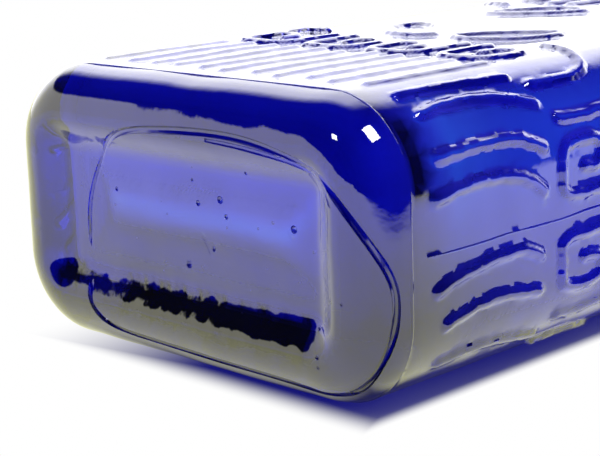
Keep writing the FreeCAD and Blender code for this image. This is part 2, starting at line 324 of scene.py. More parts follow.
def wavySurface(shell, name, share):
    strength, scale = waves[name]
    texture = bpy.data.textures.new(name, "CLOUDS")
    texture.noise_scale = scale
    texture.noise_depth = 1
    displace(shell, share, {"texture": texture, "strength": strength, "mid_level": 0.5})
    shell.vertex_groups.clear()


def belowNeck(spot):
    return (glass["neckStart"] - spot.z) / (glass["neckStart"] - glass["top"])


def thinSide(spot):  # the wall thins above the thick heel, up to the shoulder
    rise = eased(limited((spot.z - thinWall["start"]) / thinWall["rise"]))
    return rise * limited((thinWall["end"] - spot.z) / thinWall["fall"])


def chilledBase(spot):  # the wrinkled side of the dish, and a little over the rest of the base
    if insideBy(glass, spot.x, spot.y) < glass["heel"] or spot.z > glass["heel"]:
        return 0
    band = abs(spot.y - chill["middle"]) < chill["half"] and chill["left"] < spot.x < chill["right"]
    return 1 if band else chill["elsewhere"]


# Raised ornament: fringe bars, squared scrolls and leaves on all four sides, hooks at the corners.
# Apart from the height it is measured in mm, along the wall and up
ornament = {
    "height": 0.8 * mm,
    "flat": 0.25,  # half the width of a ridge's top
    "foot": 1.35,  # half its width at the wall
    "refine": ((1.45, 1.45), (1.1, 0.3)),  # where cells are halved, below and above the middle
    "spacing": 0.25,
    "start": 10,
    "away": 9,  # given for places with no ridge
    "fringe": (13.5, 41.5),
    "scrolls": (44.5, 59),
    "leaves": (66, 83),
    "middle": 93,
    "lowShare": 0.65,
    "highShare": 1.5,  # above 1 the top is wider, not higher
    "jitter": 0.15,
    "wobble": 0.1,
    "wobbleAlong": 2.3,
    "wobbleUp": 0.9,
    "wobbleBend": 1.7,
}
narrowSide = {
    "scrollGap": 3.4,
    "scrollWidth": 8.4,
    "stem": 16.6,
    "stemShort": 1,
    "stemBow": 0.5,
    "leafGap": 2,
    "leafWidth": 12,
    "bars": [
        [(-26.3, 14.4), (-26.6, 23), (-26.2, 32), (-25.6, 39.5)],
        [(-21.6, 15), (-22.4, 22), (-22.5, 29), (-21.2, 36), (-19.6, 41.1)],
        [(-14.5, 14.2), (-15, 20), (-15.1, 27), (-14.4, 34), (-12.3, 39.6)],
        [(-8.2, 13), (-9.5, 20), (-9.5, 28), (-7.9, 35), (-5.3, 39.6)],
        [(5.9, 13.3), (4.2, 19), (3.1, 28), (3.4, 34.5), (5, 38.6)],
        [(11.2, 15.4), (9.8, 22), (9.5, 29), (10.9, 38.2)],
        [(18.5, 15.6), (17.4, 23.5), (18.1, 32.5), (19.9, 40.4)],
    ],
    "hook": [(23.1, 43.5), (23.2, 53), (24.6, 58.8), (28.9, 61.9), (36.6, 64.6)],
}
wideSide = {
    "bars": 11,
    "overhang": 1,
    "uneven": 1,
    "scrolls": (-24, -8, 8, 24),
    "scrollHalf": 5.5,
    "scrollWidth": 11,
    "leafGap": 1.5,
    "leafWidth": 17,
}
figureLines = {  # shares of a figure's width and height
    "scrolls": [
        (0, 1), (0, 0.6), (0, 0.22), (0.06, 0.06), (0.2, 0), (0.5, 0), (0.84, 0), (0.97, 0.06),
        (1.02, 0.2), (1.02, 0.52), (0.97, 0.67), (0.84, 0.72), (0.68, 0.72), (0.55, 0.67),
        (0.5, 0.57), (0.5, 0.4),
    ],
    "leaves": [
        (0.04, 0.15), (0.22, 0.02), (0.5, 0), (0.8, 0.2), (1, 0.62), (0.94, 0.94), (0.62, 0.86),
        (0.28, 0.55), (0.04, 0.15),
    ],
}
chance = random.Random(7)
narrowHalf = (glass["depth"] / 2 - glass["corner"]) / mm
cornerRun = glass["corner"] * math.pi / 2 / mm
wideHalf = (glass["width"] / 2 - glass["corner"]) / mm
sideStep = narrowHalf + cornerRun + wideHalf  # from the middle of a side to that of the next
ornamentSpots = []


def smoothLine(spots):  # close points on a curve through the spots
    padded = [spots[0], *spots, spots[-1]]
    points = [spots[-1]]
    for run in zip(padded, padded[1:], padded[2:], padded[3:]):
        steps = max(round(math.dist(run[1], run[2]) / ornament["spacing"]), 1)
        for step in range(steps):
            t = step / steps
            points.append([
                b + 0.5 * t * (c - a + t * (2 * a - 5 * b + 4 * c - d + t * (3 * (b - c) + d - a)))
                for a, b, c, d in zip(*run)])
    return points


def addRidge(spots, share=1):  # each ridge has a twin in the mirrored rows near the shoulder
    wobbled = [[part + chance.uniform(-1, 1) * ornament["jitter"] for part in spot]
               for spot in spots]
    for along, z in smoothLine(wobbled):
        for height in (z, 2 * ornament["middle"] - z):
            ornamentSpots.append((along % (4 * sideStep), height, share))


def bar(along, low, high, bow):
    steps = 6
    return [(along + bow * math.sin(math.pi * step / steps), low + (high - low) * step / steps)
            for step in range(steps + 1)]


def figure(row, along, width, flip):  # a scroll or a leaf in its row
    low, high = ornament[row]
    return [(along + flip * width * across, low + (high - low) * up)
            for across, up in figureLines[row]]


def narrowRidges(centre, hand):
    low, high = ornament["scrolls"]
    for spots in narrowSide["bars"]:
        addRidge([(centre + hand * along, z) for along, z in spots])
    for flip in (-1, 1):
        scrollAt = centre + flip * narrowSide["scrollGap"]
        addRidge(figure("scrolls", scrollAt, narrowSide["scrollWidth"], flip))
        addRidge(bar(centre + hand * flip * narrowSide["stem"], low,
                     high - narrowSide["stemShort"], hand * narrowSide["stemBow"]))
        leafAt = centre + flip * narrowSide["leafGap"]
        addRidge(figure("leaves", leafAt, narrowSide["leafWidth"], flip))
        addRidge([(centre + flip * along, z) for along, z in narrowSide["hook"]],
                 ornament["highShare"])


def wideRidges(centre):
    for count in range(wideSide["bars"]):
        reach = 2 * (wideHalf + wideSide["overhang"])
        place = (count / (wideSide["bars"] - 1) - 0.5) * reach
        ends = [end + chance.uniform(-1, 1) * wideSide["uneven"] for end in ornament["fringe"]]
        addRidge(bar(centre + place, *ends, 0), ornament["lowShare"])
    for count, place in enumerate(wideSide["scrolls"]):
        flip = 1 if count % 2 else -1
        scrollAt = centre + place - flip * wideSide["scrollHalf"]
        addRidge(figure("scrolls", scrollAt, wideSide["scrollWidth"], flip), ornament["highShare"])
    for flip in (-1, 1):
        leafAt = centre + flip * wideSide["leafGap"]
        addRidge(figure("leaves", leafAt, wideSide["leafWidth"], flip))


narrowRidges(0, 1)
narrowRidges(2 * sideStep, -1)  # the left side mirrors the right one
wideRidges(-sideStep)
wideRidges(sideStep)

ornamentTree = KDTree(3 * len(ornamentSpots))
for turn in (-1, 0, 1):  # once more on either side, so that the way round has no end
    for index, spot in enumerate(ornamentSpots):
        ornamentTree.insert((spot[0] + turn * 4 * sideStep, spot[1], 0), index)
ornamentTree.balance()


# How far the next ridge is, in mm on the wall, and its share of the full height
def nearOrnament(spot):
    if not ornament["start"] * mm < spot.z < glass["top"] - mm:
        return ornament["away"], 0
    share = sectionShare(glass["width"], glass["depth"], glass["corner"], spot.x, spot.y)
    along, up = share * 4 * sideStep, spot.z / mm
    bend = ornament["wobbleBend"] * math.sin(ornament["wobbleUp"] * up)
    wobble = ornament["wobble"] * math.sin(ornament["wobbleAlong"] * along + bend)
    index, away = ornamentTree.find((along, up, 0))[1:]
    return away + wobble, ornamentSpots[index][2]


def ridgeFaces(lowReach, highReach):  # faces near a ridge, below and above the middle
    def wanted(face):
        centre = face.calc_center_median()
        reach = lowReach if centre.z < ornament["middle"] * mm else highReach
        spots = (centre, *[vert.co for vert in face.verts])
        upright = abs(face.normal.z) < limits["upright"]
        return upright and min(nearOrnament(spot)[0] for spot in spots) < reach
    return wanted


def ridgeShare(spot):
    away, share = nearOrnament(spot)
    slope = ornament["foot"] - ornament["flat"]
    return share * eased(limited((ornament["foot"] - away) / slope))


def raiseOrnament(shell):
    takeUp(shell)
    bpy.ops.object.mode_set(mode="EDIT")
    for reaches in ornament["refine"]:
        pick(shell, "FACE", ridgeFaces(*reaches))
        bpy.ops.mesh.subdivide(number_cuts=1)
    bpy.ops.object.mode_set(mode="OBJECT")
    displace(shell, ridgeShare, {"strength": ornament["height"], "mid_level": 0})
    applyModifier(shell, "SMOOTH", {"factor": 0.5, "iterations": 2, "vertex_group": "moved"})
    shell.vertex_groups.clear()
    print("ornament raised:", len(shell.data.polygons), "faces")


outerShell = flaskShell("cobaltBottle", glass, neckOutside)
raiseOrnament(outerShell)
innerShell = flaskShell("bottleInside", bore, neckInside)
wavySurface(outerShell, "outerWaves", belowNeck)
wavySurface(outerShell, "chillWrinkles", chilledBase)
wavySurface(innerShell, "innerWaves", belowNeck)
displace(innerShell, thinSide, {"strength": thinWall["amount"], "mid_level": 0})
innerShell.vertex_groups.clear()
takeUp(outerShell)
innerShell.select_set(True)
bpy.ops.object.join()
bpy.ops.object.mode_set(mode="EDIT")
pick(outerShell, "EDGE", lambda edge: edge.is_boundary)
bpy.ops.mesh.bridge_edge_loops()
bpy.ops.mesh.select_all(action="SELECT")
bpy.ops.mesh.normals_make_consistent(inside=False)  # through the lip, so the inside turns inwards
bpy.ops.object.mode_set(mode="OBJECT")
print("glass shells joined:", len(outerShell.data.polygons), "faces")

# Tubes that follow the surface, to be joined to the glass or cut out of it
tube = {
    "tip": 0.7,
    "order": 4,
    "steps": 5,
    "sides": 3,
}


def wallSpot(along, z, lift):  # along is the way round in mm from the middle of +X, towards +Y
    whole = 4 * (glass["width"] / 2 + glass["depth"] / 2 - (2 - math.pi / 2) * glass["corner"])
    x, y, outX, outY = sectionSpot(
        glass["width"], glass["depth"], glass["corner"], along * mm / whole)
    return Vector((x + outX * lift, y + outY * lift, z * mm))


def addTube(curve, spots, place, thickness=1, closed=False):
    spline = curve.splines.new("NURBS")
    spline.points.add(len(spots) - 1)
    for index, (point, spot) in enumerate(zip(spline.points, spots)):
        end = not closed and index in (0, len(spots) - 1)
        point.co = (*place(spot), 1)
        point.radius = thickness * (tube["tip"] if end else 1)
    spline.order_u = tube["order"]
    spline.use_endpoint_u = not closed
    spline.use_cyclic_u = closed
    spline.resolution_u = tube["steps"]


def newTubes(name, radius):
    clearSelection()
    bpy.ops.curve.primitive_nurbs_path_add()
    tubes = bpy.context.active_object
    tubes.name = name
    tubes.data.splines.clear()
    tubes.data.bevel_depth = radius
    tubes.data.bevel_resolution = tube["sides"]
    tubes.data.use_fill_caps = True
    return tubes


def carve(tool, operation):  # joins the tool to the glass or cuts it out
    takeUp(tool)
    if tool.type == "CURVE":
        bpy.ops.object.convert(target="MESH")
    bpy.ops.object.mode_set(mode="EDIT")
    bpy.ops.mesh.select_all(action="SELECT")
    bpy.ops.mesh.remove_doubles(threshold=limits["weld"])
    bpy.ops.mesh.normals_make_consistent(inside=False)
    bpy.ops.object.mode_set(mode="OBJECT")
    applyModifier(outerShell, "BOOLEAN", {
        "object": tool, "operation": operation, "solver": "MANIFOLD"})
    bpy.data.objects.remove(tool)
    print(operation.lower(), "done:", len(outerShell.data.polygons), "faces")


# Marks of the mould: the heel's parting line, the side seams, and the scar and streaks of the base
mould = {
    "seamRadius": 0.4 * mm,
    "seamSink": 0.26 * mm,
    "seamShare": 0.9,
    "partingHeight": 7.6,
    "partingSpots": 90,
    "partingWander": 0.1,
    "sideHeights": range(11, 177, 5),
    "sideWander": 0.2,
    "scarRadius": 0.7 * mm,
    "scarLift": 0.2 * mm,
    "twinShare": 0.8,
    "streakLift": 0.85 * mm,
    "streakShare": 1.4,
}
scarLoop = [
    (-21.4, -8.9), (-19.2, -11.8), (-14.3, -14.5), (-8.8, -15.8), (3.3, -16.8), (15.4, -17.1),
    (24.9, -15.6), (33.8, -13.2), (39.5, -7.3), (43.2, -0.9), (44.5, 4.3), (43.9, 12.1),
    (39.4, 19.2), (35.8, 21.4), (25, 21.2), (8, 20.8), (-10, 20.6), (-20.6, 20), (-23.8, 14.9),
    (-25.9, 7.4), (-26, 0.1), (-23.6, -5.4),
]
scarTwin = [
    (9, -15.7), (15.4, -15.5), (21.1, -14.9), (26.7, -14.1), (30.3, -13.2), (33.5, -11.2),
    (35.8, -8.4),
]
streaks = [
    [(-3.5, -1.1), (-2.7, 1.7), (-0.8, 3.8), (1.6, 5.1), (2.2, 6)],
    [(1.3, -0.9), (3.9, 0.4), (5.2, 2.5), (6.3, 4.4), (6.9, 5.2)],
    [(23.5, -3.9), (24.6, -2.2), (25.4, 0.2)],
    [(-15, 3), (-14, 6), (-14.4, 8)],
]


def basePlace(lift):
    def place(spot):
        x, y = spot[0] * mm, spot[1] * mm
        return Vector((x, y, undersideHeight(glass, x, y) - lift))
    return place


def seamPlace(spot):
    return wallSpot(*spot, -mould["seamSink"])


def wander(name):
    return chance.uniform(-mould[name], mould[name])


seams = newTubes("partingSeam", mould["seamRadius"])
line = [(4 * sideStep * spot / mould["partingSpots"],
         mould["partingHeight"] + wander("partingWander"))
        for spot in range(mould["partingSpots"])]
addTube(seams.data, line, seamPlace, mould["seamShare"], True)
for middle in (0, 2 * sideStep):
    line = [(middle + wander("sideWander"), z) for z in mould["sideHeights"]]
    addTube(seams.data, line, seamPlace, mould["seamShare"])
carve(seams, "UNION")

scars = newTubes("scarCut", mould["scarRadius"])
addTube(scars.data, scarLoop, basePlace(mould["scarLift"]), 1, True)
addTube(scars.data, scarTwin, basePlace(mould["scarLift"]), mould["twinShare"])
for line in streaks:
    addTube(scars.data, line, basePlace(mould["streakLift"]), mould["streakShare"])
carve(scars, "DIFFERENCE")

# Seeds in the glass and small open pits on the base, in mm
seeds = {
    "inside": 30,
    "acrossX": 36,
    "acrossY": 15,
    "heights": (3.6, 5),
    "sizes": (0.12, 0.3),
    "segments": 10,
    "rings": 7,
    "pitSink": 0.35,
    "pits": [
        (8.6, -5.6, 0.75), (25.3, -3.1, 0.7), (0.2, 6.3, 0.8), (6.6, 2.8, 0.5), (-17.7, -4.2, 0.5),
        (37.6, 6, 0.35), (30.8, 11.4, 0.35), (32.3, 15.2, 0.4), (32.4, 16.8, 0.3),
        (2.1, -8.1, 0.35), (15.3, -10.7, 0.35), (3.3, -4.4, 0.55), (9.9, -3, 0.5),
    ],
}


def addBubble(x, y, z, radius):
    bpy.ops.mesh.primitive_uv_sphere_add(
        segments=seeds["segments"], ring_count=seeds["rings"], radius=radius, location=(x, y, z))
    return bpy.context.active_object


def gather(bubbles, name):
    takeUp(bubbles[0])
    for bubble in bubbles:
        bubble.select_set(True)
    bpy.ops.object.join()
    bubbles[0].name = name
    bpy.ops.object.transform_apply(location=True, rotation=True, scale=True)
    return bubbles[0]


clearSelection()
bubbles = []
for count in range(seeds["inside"]):
    x = chance.uniform(-seeds["acrossX"], seeds["acrossX"]) * mm
    y = chance.uniform(-seeds["acrossY"], seeds["acrossY"]) * mm
    z = chance.uniform(*seeds["heights"]) * mm
    bubbles.append(addBubble(x, y, z, chance.uniform(*seeds["sizes"]) * mm))
for x, y, size in seeds["pits"]:
    surface = undersideHeight(glass, x * mm, y * mm)
    z = surface - seeds["pitSink"] * size * mm
    bubbles.append(addBubble(x * mm, y * mm, z, size * mm))
carve(gather(bubbles, "seedsAndPits"), "DIFFERENCE")

# Finish of the shell: where it is outside, a darker heel that is partly its thick glass and partly
# painted shade, and painted dark reflections low on the base and at one corner of the heel
skin = {
    "depth": 2 * mm,
    "base": 3.6 * mm,
    "neck": 10 * mm,
}
heelThickAndShade = {
    "ring": 13 * mm,
    "ringFade": 5 * mm,
    "middle": 0.85,
    "least": 0.5,
    "tilt": 40 * mm,
    "flat": 4 * mm,
    "flatFade": 3 * mm,
    "full": 8 * mm,
    "upTo": 26 * mm,
    "higher": 24 * mm,  # the painted shade reaches higher on the side that lies down
    "higherFrom": 15 * mm,
}
# painted dark reflection on one corner of the heel
paintedDarkCorner = {  # in mm
    "right": 30,
    "low": 7.4,
    "high": 13.5,
    "highFade": 2.5,
    "wave": 0.8,
    "pace": 1.9,
    "back": -7,
    "backFade": 2.5,
    "front": -22,
    "frontFade": 2,
}
# painted dark reflection in a ragged band low on the base, with a patch beside it
paintedDarkBand = {  # in mm
    "teeth": ((0.5, 1.3, 0), (0.4, 3.1, 1), (0.3, 5.7, 2)),
    "low": 10.2,
    "lowTeeth": 0.8,
    "high": 16.9,
    "highTeeth": 0.5,
    "slope": 0.02,
    "wave": (0.6, 0.9, 2),
    "left": -16.5,
    "right": 30,
    "fade": 0.7,
    "patch": (-29.5, 12.4),
    "patchSize": (4.5, 2.6),
    "patchTeeth": 0.4,
    "patchEdge": 3,
}


def outsideShare(spot):
    neck = spot.z > glass["top"] - mm and math.hypot(spot.x, spot.y) > skin["neck"]
    inside = insideBy(glass, spot.x, spot.y)
    return float(inside < skin["depth"] or spot.z < skin["base"] or neck)


def heelThickAndShadeShare(spot):  # how much a place on the outside is darkened: partly the thick heel glass behind it, partly painted shade
    inside = insideBy(glass, spot.x, spot.y)
    ring = limited((heelThickAndShade["ring"] - inside) / heelThickAndShade["ringFade"])
    # painted shade: darker toward +Y, the side that lies down, and fully so near the flat of the
    # base
    uneven = min(max(heelThickAndShade["middle"] + spot.y / heelThickAndShade["tilt"], heelThickAndShade["least"]), 1)
    uneven += (1 - uneven) * limited((heelThickAndShade["flat"] - spot.z) / heelThickAndShade["flatFade"])
    higher = heelThickAndShade["higher"] * limited(spot.y / heelThickAndShade["higherFrom"])
    upTo = heelThickAndShade["upTo"] + higher
    return uneven * ring * limited((upTo - spot.z) / (upTo - heelThickAndShade["full"]))


def ripple(x, size, pace, start):
    return size * math.sin(pace * x + start)


def paintedCornerShare(y, z):
    high = paintedDarkCorner["high"] + ripple(y, paintedDarkCorner["wave"], paintedDarkCorner["pace"], 0)
    return limited(min(
        z - paintedDarkCorner["low"],
        (high - z) / paintedDarkCorner["highFade"],
        (paintedDarkCorner["back"] - y) / paintedDarkCorner["backFade"],
        (y - paintedDarkCorner["front"]) / paintedDarkCorner["frontFade"]))


def paintedDarkShare(spot):  # painted dark reflection: a ragged band low on the base, a patch beside it, one corner of the heel
    x, y, z = spot / mm
    if insideBy(glass, spot.x, spot.y) < skin["depth"] and x > paintedDarkCorner["right"]:
        return paintedCornerShare(y, z)
    if spot.z >= skin["base"]:
        return 0
    ragged = sum(ripple(x, *tooth) for tooth in paintedDarkBand["teeth"])
    low = paintedDarkBand["low"] + paintedDarkBand["lowTeeth"] * ragged
    high = paintedDarkBand["high"] + paintedDarkBand["slope"] * x + ripple(x, *paintedDarkBand["wave"])
    high -= paintedDarkBand["highTeeth"] * ragged
    band = min(y - low, high - y, x - paintedDarkBand["left"] + ragged, paintedDarkBand["right"] - ragged - x)
    offX, offY = [(part - middle) / size for part, middle, size
                  in zip((x, y), paintedDarkBand["patch"], paintedDarkBand["patchSize"])]
    patch = 1 + paintedDarkBand["patchTeeth"] * ragged - math.hypot(offX, offY)
    return limited(max(band / paintedDarkBand["fade"], paintedDarkBand["patchEdge"] * patch))


takeUp(outerShell)
bpy.ops.object.shade_smooth_by_angle(angle=math.radians(glass["smoothAngle"]))
for name, share in (("outside", outsideShare), ("thickAndShaded", heelThickAndShadeShare), ("band", paintedDarkShare)):
    layer = outerShell.data.attributes.new(name, "FLOAT", "POINT")
    layer.data.foreach_set("value", [share(vert.co) for vert in outerShell.data.vertices])
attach(outerShell, "bottle")
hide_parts("glass_bottle")
print("bottle modelled")


def newMaterial(name):
    material = bpy.data.materials.new(name)
    material.use_nodes = True
    tree = material.node_tree
    return material, tree, tree.nodes["Principled BSDF"]


def addNode(tree, kind, values=None, links=None):
    node = tree.nodes.new(kind)
    for name, value in (values or {}).items():
        if name in node.inputs:
            node.inputs[name].default_value = value
        else:
            setattr(node, name, value)
    for name, socket in (links or {}).items():
        tree.links.new(socket, node.inputs[name])
    return node


def fill(tree, socket, part):  # with a value of its own or a link
    if isinstance(part, (int, float, tuple)):
        socket.default_value = part
    else:
        tree.links.new(part, socket)


def reckon(tree, operation, first, second):
    node = addNode(tree, "ShaderNodeMath", {"operation": operation})
    fill(tree, node.inputs[0], first)
    fill(tree, node.inputs[1], second)
    return node.outputs[0]


def fade(tree, value, start, end):  # 0 up to the start, 1 from the end on
    step = addNode(tree, "ShaderNodeMapRange", {
        "From Min": start, "From Max": end, "interpolation_type": "SMOOTHSTEP"}, {"Value": value})
    return step.outputs[0]


def blendColours(tree, share, first, second):
    node = addNode(tree, "ShaderNodeMix", {"data_type": "RGBA"}, {0: share})
    fill(tree, node.inputs[6], first)  # 6 and 7 are the colours A and B
    fill(tree, node.inputs[7], second)
    return node.outputs[2]


def mixShaders(tree, share, first, second):
    mix = addNode(tree, "ShaderNodeMixShader", {}, {"Fac": share})
    tree.links.new(first.outputs[0], mix.inputs[1])
    tree.links.new(second.outputs[0], mix.inputs[2])
    return mix


def showSurface(tree, shader):
    tree.links.new(shader.outputs[0], tree.nodes["Material Output"].inputs["Surface"])


def dress(piece, material):
    piece.data.materials.clear()
    piece.data.materials.append(material)


cobalt = {
    "ior": 1.5,
    "insideRoughness": 0.4,
    "coatIor": 1.8,
    "coatRoughness": 0,
    "tint": (0.12, 0.14, 0.958, 1),
    "clearTint": (1, 1, 1, 1),
    # painted shade: the heel's colour, darker for its thick glass and for the shade on the side
    # that lies down
    "heelShadeTint": (0.02, 0.015, 0.2, 1),
    # painted dark reflection: nearly black
    "paintedDarkTint": (0, 0, 0.006, 1),
    "density": 330,
    "waveScale": 220,
    "waveDetail": 3,
    "waveStrength": 0.05,
    "shadowTint": (0.62, 0.62, 0.66, 1),
}


def cobaltGlass():
    material, tree, shader = newMaterial("cobaltGlass")
    shader.inputs["IOR"].default_value = cobalt["ior"]
    shader.inputs["Transmission Weight"].default_value = 1
    shader.inputs["Coat IOR"].default_value = cobalt["coatIor"]
    shader.inputs["Coat Roughness"].default_value = cobalt["coatRoughness"]
    outside, thickAndShaded, band = [
        addNode(tree, "ShaderNodeAttribute", {"attribute_name": name}).outputs["Fac"]
        for name in ("outside", "thickAndShaded", "band")]
    # the colour darkens on the heel, partly for thick glass and partly as painted shade, and goes
    # nearly black where dark reflections are painted
    depth = blendColours(tree, thickAndShaded, cobalt["clearTint"], cobalt["heelShadeTint"])
    depth = blendColours(tree, band, depth, cobalt["paintedDarkTint"])
    tree.links.new(depth, shader.inputs["Base Color"])
    tree.links.new(outside, shader.inputs["Coat Weight"])  # only the outside is fire-polished
    haze = addNode(tree, "ShaderNodeMapRange", {
        "To Min": cobalt["insideRoughness"], "To Max": 0}, {"Value": outside})
    tree.links.new(haze.outputs[0], shader.inputs["Roughness"])
    place = addNode(tree, "ShaderNodeTexCoord")
    ripples = addNode(tree, "ShaderNodeTexNoise", {
        "Scale": cobalt["waveScale"], "Detail": cobalt["waveDetail"]},
        {"Vector": place.outputs["Object"]})
    bump = addNode(tree, "ShaderNodeBump", {
        "Strength": cobalt["waveStrength"], "Distance": mm}, {"Height": ripples.outputs["Fac"]})
    tree.links.new(bump.outputs["Normal"], shader.inputs["Normal"])
    tree.links.new(bump.outputs["Normal"], shader.inputs["Coat Normal"])
    path = addNode(tree, "ShaderNodeLightPath")
    straight = reckon(
        tree, "MAXIMUM", path.outputs["Is Shadow Ray"], path.outputs["Is Diffuse Ray"])
    clear = addNode(tree, "ShaderNodeBsdfTransparent", {"Color": cobalt["shadowTint"]})
    showSurface(tree, mixShaders(tree, straight, shader, clear))
    absorb = addNode(tree, "ShaderNodeVolumeAbsorption", {
        "Color": cobalt["tint"], "Density": cobalt["density"]})
    tree.links.new(absorb.outputs[0], tree.nodes["Material Output"].inputs["Volume"])
    return material


dress(outerShell, cobaltGlass())

# The closure keeps its CAD meshes and gets its finishes
wireFinish = {
    "scale": 260,
    "detail": 4,
    "tones": ((0.42, 0.42, 0.42, 1), (0.68, 0.68, 0.66, 1)),
    "values": {"Metallic": 1},
    "worn": (0.18, 0.4),  # its roughness follows the clouds
}
glazeFinish = {
    "scale": 120,
    "detail": 5,
    "tones": ((0.72, 0.69, 0.62, 1), (0.84, 0.82, 0.77, 1)),
    "values": {"Roughness": 0.12, "Coat Weight": 0.6},
}
rubberFinish = {
    "scale": 500,
    "detail": 4,
    "tones": ((0.3, 0.035, 0.02, 1), (0.46, 0.07, 0.035, 1)),
    "values": {"Roughness": 0.6},
}


def cloudedFinish(name, finish):  # faint clouds between two tones
    material, tree, shader = newMaterial(name)
    for socket, value in finish["values"].items():
        shader.inputs[socket].default_value = value
    place = addNode(tree, "ShaderNodeTexCoord")
    cloud = addNode(tree, "ShaderNodeTexNoise", {
        "Scale": finish["scale"], "Detail": finish["detail"]}, {"Vector": place.outputs["Object"]})
    tone = addNode(tree, "ShaderNodeValToRGB", {}, {"Fac": cloud.outputs["Fac"]})
    for element, colour in zip(tone.color_ramp.elements, finish["tones"]):
        element.color = colour
    tree.links.new(tone.outputs["Color"], shader.inputs["Base Color"])
    if "worn" in finish:
        smooth, rough = finish["worn"]
        worn = addNode(tree, "ShaderNodeMapRange", {
            "To Min": smooth, "To Max": rough}, {"Value": cloud.outputs["Fac"]})
        tree.links.new(worn.outputs[0], shader.inputs["Roughness"])
    return material


platedWire = cloudedFinish("platedWire", wireFinish)
for name in ("front_neck_wire", "rear_neck_wire", "lever_wire", "bail_wire"):
    dress(nodes[name], platedWire)
dress(nodes["stopper"], cloudedFinish("porcelainGlaze", glazeFinish))
dress(nodes["gasket"], cloudedFinish("redRubber", rubberFinish))
print("materials given")

# Stage: a white sheet behind the bottle, on which it lies in the photo, and a floor to stand on
stage = {
    "size": 6,
    "sheet": glass["depth"] / 2 + ornament["height"] + 0.1 * mm,
    "floor": -0.5 * mm,
    "white": (1, 1, 1, 1),
    "mirrored": (1, 1, 0.62, 1),  # painted reflection: only in reflections it is warm near the bottle
    "mirroredFar": (1, 1, 0.98, 1),
    "farDown": (-35 * mm, -70 * mm),
    "farRight": (75 * mm, 110 * mm),
    # painted dark reflection: far to the right the sheet shows near black, only in reflections
    "beyond": (0.01, 0.01, 0.015, 1),
    "beyondFrom": (150 * mm, 215 * mm),
    "openLeft": (-80 * mm, -60 * mm),  # through the glass it opens where the bottle hides it, onto the world's painted shade strip
    "openRight": (44 * mm, 38 * mm),
    "openLow": (7 * mm, 11 * mm),
    "openHigh": (90 * mm, 65 * mm),
    "through": (0.35, 2.2, 1.15, 1),  # and beside the bottle it glows blue-green, a painted glow seen only through the glass
    "throughUp": (85 * mm, 125 * mm),
    "throughLeft": (-35 * mm, -60 * mm),
    "clearLow": (7.5 * mm, -0.5 * mm),  # from here on it shows no shadow
    "clearRight": (37.5 * mm, 41.5 * mm),
    "clearLeft": (0, -45 * mm),
    "clearHigh": (150 * mm, 200 * mm),
    "floorShadow": (80 * mm, 260 * mm),
}


def oneSided(tree, front, opening=0):  # clear from behind, and where it opens
    side = addNode(tree, "ShaderNodeNewGeometry")
    clear = addNode(tree, "ShaderNodeBsdfTransparent")
    share = reckon(tree, "MAXIMUM", side.outputs["Backfacing"], opening)
    showSurface(tree, mixShaders(tree, share, front, clear))


def mattOrBright(tree, share, colour):  # takes shadows, or glows evenly by the share
    matt, bright = addNode(tree, "ShaderNodeBsdfDiffuse"), addNode(tree, "ShaderNodeEmission")
    fill(tree, matt.inputs["Color"], colour)
    fill(tree, bright.inputs["Color"], colour)
    return mixShaders(tree, share, matt, bright)


def stageMaterial(name):
    material, tree, shader = newMaterial(name)
    tree.nodes.remove(shader)
    material.cycles.emission_sampling = "NONE"
    return material, tree, addNode(tree, "ShaderNodeTexCoord").outputs["Object"]


def sheetWhite():  # plain white, with a shadow only where the bottle hangs over the sheet; in the glass it shows painted reflections, warm near the bottle and dark far right, and a painted blue-green glow
    material, tree, place = stageMaterial("sheetWhite")
    path = addNode(tree, "ShaderNodeLightPath")
    parts = addNode(tree, "ShaderNodeSeparateXYZ", {}, {"Vector": place})
    across, along = parts.outputs["X"], parts.outputs["Z"]
    seen = path.outputs["Is Transmission Ray"]

    def fadeBy(value, name):
        return fade(tree, value, *stage[name])

    far = reckon(tree, "MAXIMUM", fadeBy(along, "farDown"), fadeBy(across, "farRight"))
    mirrored = blendColours(tree, far, stage["mirrored"], stage["mirroredFar"])
    mirrored = blendColours(tree, fadeBy(across, "beyondFrom"), mirrored, stage["beyond"])
    # painted glow: beside the bottle, through the glass, the sheet glows blue-green
    beside = reckon(tree, "MULTIPLY", fadeBy(along, "throughUp"), fadeBy(across, "throughLeft"))
    distant = blendColours(tree, beside, stage["white"], stage["through"])
    shade = blendColours(tree, path.outputs["Is Glossy Ray"], stage["white"], mirrored)
    shade = blendColours(tree, seen, shade, distant)
    opening = seen
    for value, name in ((across, "openLeft"), (across, "openRight"),
                        (along, "openLow"), (along, "openHigh")):
        opening = reckon(tree, "MULTIPLY", opening, fadeBy(value, name))
    clear = seen
    for value, name in ((along, "clearLow"), (across, "clearRight"),
                        (across, "clearLeft"), (along, "clearHigh")):
        clear = reckon(tree, "MAXIMUM", clear, fadeBy(value, name))
    oneSided(tree, mattOrBright(tree, clear, shade), opening)
    return material


def floorWhite():  # keeps the shadow near the bottle
    material, tree, place = stageMaterial("floorWhite")
    away = addNode(tree, "ShaderNodeVectorMath", {"operation": "LENGTH"}, {"Vector": place})
    distant = fade(tree, away.outputs["Value"], *stage["floorShadow"])
    oneSided(tree, mattOrBright(tree, distant, stage["white"]))
    return material


def addSheet(name, location, rotation, material):
    clearSelection()
    bpy.ops.mesh.primitive_plane_add(size=stage["size"], location=location, rotation=rotation)
    sheet = bpy.context.active_object
    sheet.name = name
    bpy.ops.object.transform_apply(location=True, rotation=True, scale=True)
    dress(sheet, material)
    sheet.visible_diffuse = False
    sheet.visible_shadow = False
    return sheet


addSheet("backSheet", (0, stage["sheet"], 0), (math.radians(90), 0, 0), sheetWhite())
floor = addSheet("floor", (0, 0, stage["floor"]), (0, 0, 0), floorWhite())
floor.visible_glossy = False
floor.visible_transmission = False

